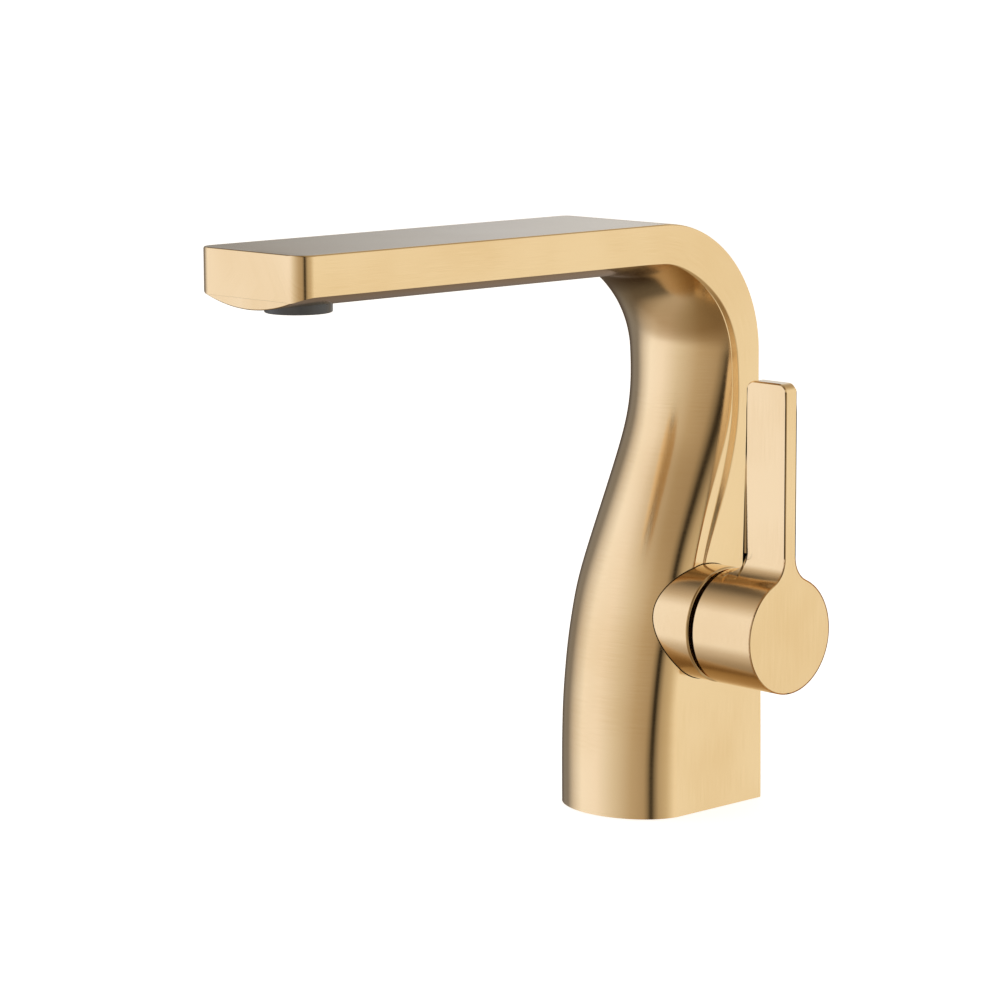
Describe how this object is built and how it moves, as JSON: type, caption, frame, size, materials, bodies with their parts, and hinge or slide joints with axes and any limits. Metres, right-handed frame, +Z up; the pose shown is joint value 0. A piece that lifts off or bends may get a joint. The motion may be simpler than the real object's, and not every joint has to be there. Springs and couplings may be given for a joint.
{
  "type": "single-lever basin mixer",
  "caption": "Single-lever basin mixer with a flat-topped swept spout, D-shaped column and a side lever that turns a ceramic mixing cartridge.",
  "frame": {"origin": "on the deck plane, in the middle of the foot's width, 28.5 mm in front of the column's back face", "axes": "+Z up, -Y towards the spout's tip, +X towards the lever"},
  "size_m": [0.0787, 0.1835, 0.1795],
  "materials": {
    "gold_finish": "brushed satin gold plating",
    "raw_brass": "machined, unplated",
    "black_rubber": "moulded, matt",
    "white_nylon": "moulded, slightly translucent",
    "dark_plastic": "moulded, satin",
    "ceramic": "lapped ceramic, polished",
    "steel": "stainless, fine"
  },
  "bodies": {
    "root": {"body_casting": "gold_finish", "base_plate": "raw_brass", "base_plate_screws": "steel", "base_gasket": "black_rubber", "valve_body": "raw_brass", "valve_fixing_screw": "steel", "collar_sleeve": "gold_finish", "outlet_tube": "white_nylon", "outlet_tube_orings": "black_rubber", "cartridge_base": "white_nylon", "cartridge_port_seals": "black_rubber", "ceramic_fixed_disc": "ceramic", "cartridge_housing": "white_nylon", "retaining_nut": "raw_brass", "stop_ring": "dark_plastic", "aerator_housing": "dark_plastic", "aerator_washer": "black_rubber", "flow_straightener": "white_nylon", "aerator_screens": "steel", "flow_regulator": "dark_plastic"},
    "lever": {"ceramic_moving_disc": "ceramic", "disc_driver": "dark_plastic", "spindle": "raw_brass", "spindle_orings": "black_rubber", "spindle_clip": "steel", "handle": "gold_finish", "handle_bush": "dark_plastic", "handle_grub_screw": "steel"}
  },
  "joints": [
    {"name": "lever_turn", "type": "hinge", "parent": "root", "child": "lever", "pos_m": [0.033, 0.0035, 0.0587], "axis": [1, 0, 0], "range_deg": [0, 100]}
  ]
}
